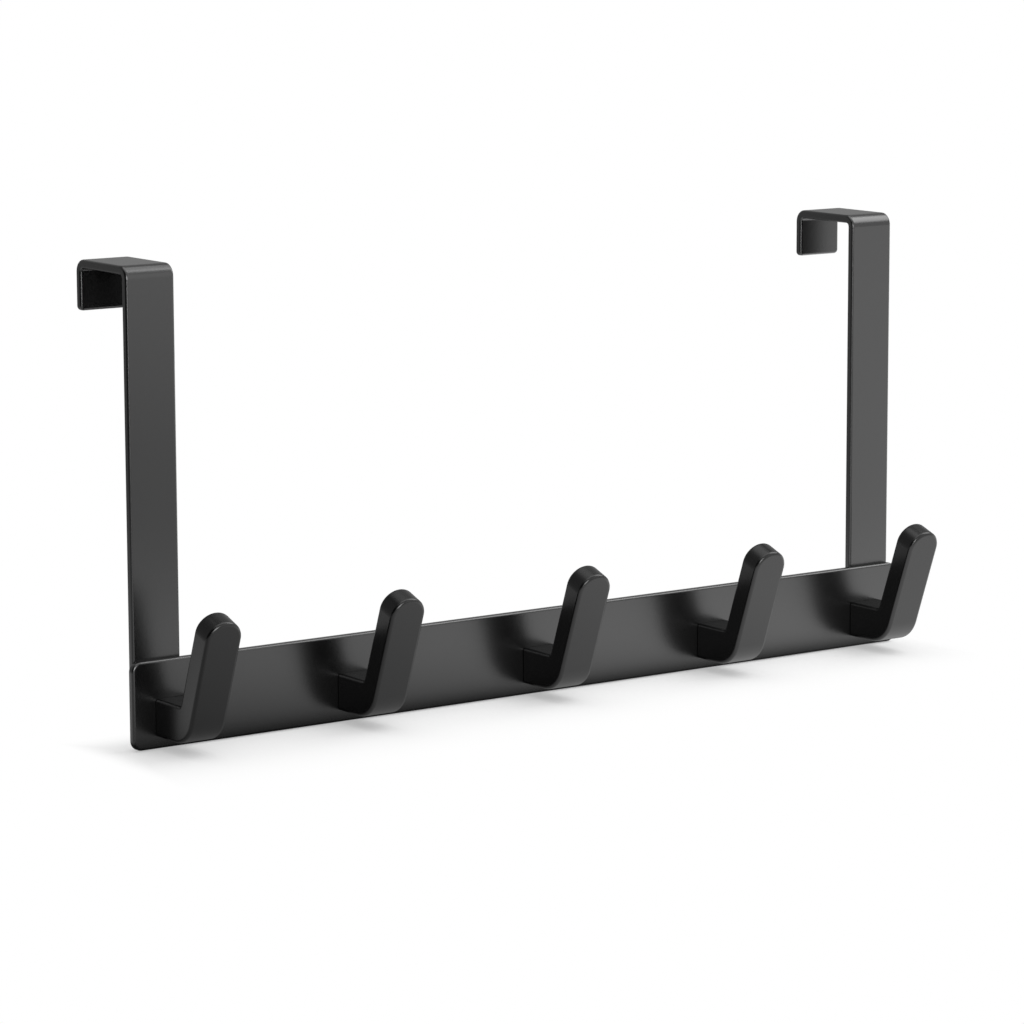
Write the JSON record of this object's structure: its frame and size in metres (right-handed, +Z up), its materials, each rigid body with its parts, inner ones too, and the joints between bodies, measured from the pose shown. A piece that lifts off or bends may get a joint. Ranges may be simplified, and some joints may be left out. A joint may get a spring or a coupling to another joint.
{
  "type": "over door hook",
  "caption": "Flat rail with solid outward leaning hooks, hung from two bent straps that pass over the top of a door.",
  "frame": {"origin": "middle of the door's top front edge: the undersides of the bridges lie in Z = 0 and the backs of the straps in Y = 0", "axes": "+X along the rail to the viewer's right, +Y into the door, +Z up; the hooks point to -Y"},
  "size_m": [0.44, 0.0958, 0.215],
  "materials": {
    "rail_coat": "satin black powder coat on steel",
    "strap_coat": "satin black powder coat on steel",
    "hook_coat": "satin black powder coat on cast zinc",
    "screw_steel": "black zinc plated steel"
  },
  "bodies": {
    "root": {"rail": "rail_coat", "strap_left": "strap_coat", "strap_right": "strap_coat", "hook_1": "hook_coat", "hook_2": "hook_coat", "hook_3": "hook_coat", "hook_4": "hook_coat", "hook_5": "hook_coat", "hook_screws": "screw_steel"}
  },
  "joints": []
}
